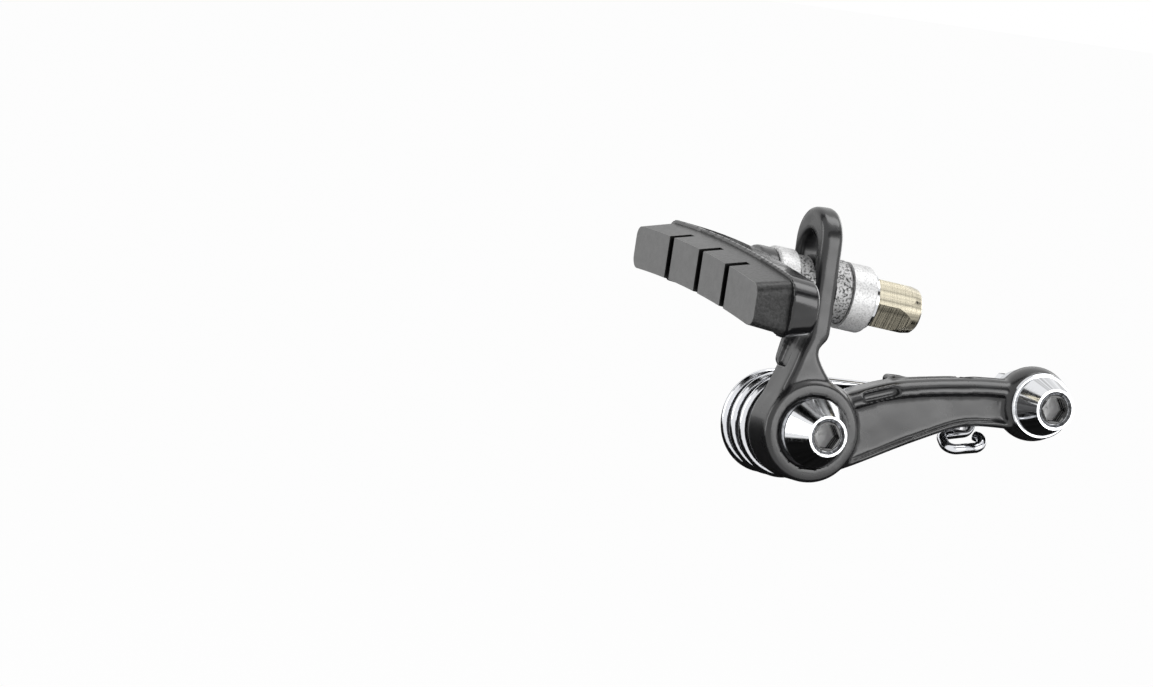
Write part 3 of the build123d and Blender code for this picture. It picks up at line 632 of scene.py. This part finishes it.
# %% Give each piece its finish
finishes = {
    "brake_arm": arm_paint, "pad_shoe": shoe_paint, "pad_rubber": pad_rubber,
    "inner_cup_washer": cup_blasted, "outer_cup_washer": cup_blasted,
    "inner_dome_washer": dome_blasted, "outer_dome_washer": dome_blasted,
    "stud_nut": nut_nickel, "stud_flat_washer": washer_chrome, "pad_stud": stud_steel,
    "pivot_bolt": pivot_chrome, "pivot_washer": washer_chrome, "pivot_bush": bush_steel,
    "anchor_bolt": anchor_chrome, "anchor_ring_washer": washer_chrome, "cable_clamp_washer": washer_chrome,
    "anchor_nut": anchor_chrome, "tension_screw": screw_steel, "return_spring": spring_wire,
}
for name, finish in finishes.items():
    for slot in nodes[name].material_slots:
        slot.material = finish
print("finishes on", len(finishes), "of", len(nodes), "pieces")

# %% [markdown]
# ## Soft edges of a forging
# A forging has no sharp edge: hammer and paint leave every edge and inner corner round. The solid keeps its
# crisp edges for its own uses, so here a copy of it is rebuilt as one even skin by a Remesh modifier and then
# smoothed. The smoothing leaves out every point near the two bolts' axes, so the bore, the recess and the
# anchor's seats stay crisp.

# %% Copies to work on


def merged_copy(node_name, name):
    """A selected copy of a node whose loose triangles are merged into one skin."""
    copy = bpy.data.objects.new(name, nodes[node_name].data.copy())
    scene.collection.objects.link(copy)
    bpy.ops.object.select_all(action="DESELECT")
    copy.select_set(True)
    bpy.context.view_layer.objects.active = copy
    bpy.ops.object.mode_set(mode="EDIT")
    bpy.ops.mesh.select_all(action="SELECT")
    bpy.ops.mesh.remove_doubles(threshold=1e-7)
    bpy.ops.object.mode_set(mode="OBJECT")
    return copy


def dress(piece, finish):
    """Leaves one material on a piece."""
    piece.data.materials.clear()
    piece.data.materials.append(finish)


# %% [markdown]
# The Remesh modifier makes even squares of the given size, and the Smooth modifier then pulls each point
# towards its neighbours a few times over.

# %% Smoothed skins
smooth_factor = 0.5
crease = radians(50)


def smoothed_copy(node_name, name, voxel, rounds, keep):
    """A remeshed and smoothed copy of a node; points for which keep() holds are not smoothed."""
    copy = merged_copy(node_name, name)
    remesh = copy.modifiers.new("remesh", "REMESH")
    remesh.mode = "VOXEL"
    remesh.voxel_size = voxel
    bpy.ops.object.modifier_apply(modifier="remesh")
    group = copy.vertex_groups.new(name="soft")
    group.add([v.index for v in copy.data.vertices if not keep(v.co)], 1.0, "REPLACE")
    smooth = copy.modifiers.new("smooth", "SMOOTH")
    smooth.factor = smooth_factor
    smooth.iterations = rounds
    smooth.vertex_group = "soft"
    bpy.ops.object.modifier_apply(modifier="smooth")
    bpy.ops.object.shade_smooth_by_angle(angle=crease)
    print(name, "triangles about", 2 * len(copy.data.polygons))
    return copy


# %% [markdown]
# The arm keeps the places crisp that hold the bush and the bolts' heads.

# %% Arm
crisp_round_pivot = 8.3 * MM
crisp_round_anchor = 6.9 * MM
arm_voxel = 0.36 * MM
arm_rounds = 7


def near_arm_holes(point):
    """Whether a point lies near the pivot's or the anchor's axis."""
    to_pivot = (point - pivot_axis) * Vector((1, 0, 1))
    to_anchor = (point - anchor_axis) * Vector((1, 0, 1))
    return to_pivot.length < crisp_round_pivot or to_anchor.length < crisp_round_anchor


arm_skin = smoothed_copy("brake_arm", "forged_arm", arm_voxel, arm_rounds, near_arm_holes)
dress(arm_skin, arm_paint)
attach(arm_skin, "arm")
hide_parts("brake_arm")

# %% [markdown]
# The shoe was moulded and painted, so its edges are soft as well. All of it is smoothed, and less than the
# arm, because it is thinner.

# %% Shoe
shoe_voxel = 0.3 * MM
shoe_rounds = 4

shoe_skin = smoothed_copy("pad_shoe", "moulded_shoe", shoe_voxel, shoe_rounds, lambda point: False)
dress(shoe_skin, shoe_paint)
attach(shoe_skin, "pad")
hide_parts("pad_shoe")

# %% [markdown]
# ## The return spring
# One wire makes the whole spring. Its loop stays with the arm and its far end stays in the frame's hole, so
# the coil between them must twist when the arm swings. The work starts from a merged copy of the solid.

# %% Wire of the spring
spring = merged_copy("return_spring", "spring_wire")
dress(spring, spring_wire)
print("spring vertices", len(spring.data.vertices))

# %% [markdown]
# The loop of the spring closes on itself: its free end turns up and back towards the leg. A curve with a
# round profile draws this last bend, and it is joined to the wire where the solid's wire ends.

# %% Closed end of the loop
wire_radius = 1.1 * MM
wire_crease = radians(40)
loop_return = [(38.9, 2.3, 0.34), (39.8, 2.3, 0.55), (40.6, 2.5, 1.1), (41.0, 3.1, 1.9), (40.9, 4.0, 2.5),
               (40.4, 5.0, 2.75)]

bpy.ops.curve.primitive_bezier_curve_add()
bend = bpy.context.object
line = bend.data.splines[0]
line.bezier_points.add(len(loop_return) - len(line.bezier_points))
for knot, place in zip(line.bezier_points, loop_return):
    knot.co = Vector(place) * MM
    knot.handle_left_type = knot.handle_right_type = "AUTO"
bend.data.bevel_depth = wire_radius
bend.data.bevel_resolution = 8
bend.data.resolution_u = 12
bend.data.use_fill_caps = True
bend.select_set(True)
bpy.context.view_layer.objects.active = bend
bpy.ops.object.convert(target="MESH")
bend = bpy.context.object
bend.data.materials.append(spring_wire)
print("bend vertices", len(bend.data.vertices))

# %% [markdown]
# The bend starts inside the wire's open end, so the two overlap a little where they are joined.

# %% Join the bend to the wire
bpy.ops.object.select_all(action="DESELECT")
bend.select_set(True)
spring.select_set(True)
bpy.context.view_layer.objects.active = spring
bpy.ops.object.join()
bpy.ops.object.shade_smooth_by_angle(angle=wire_crease)
print("spring vertices", len(spring.data.vertices))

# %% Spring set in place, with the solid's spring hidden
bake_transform(spring)
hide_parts("return_spring")
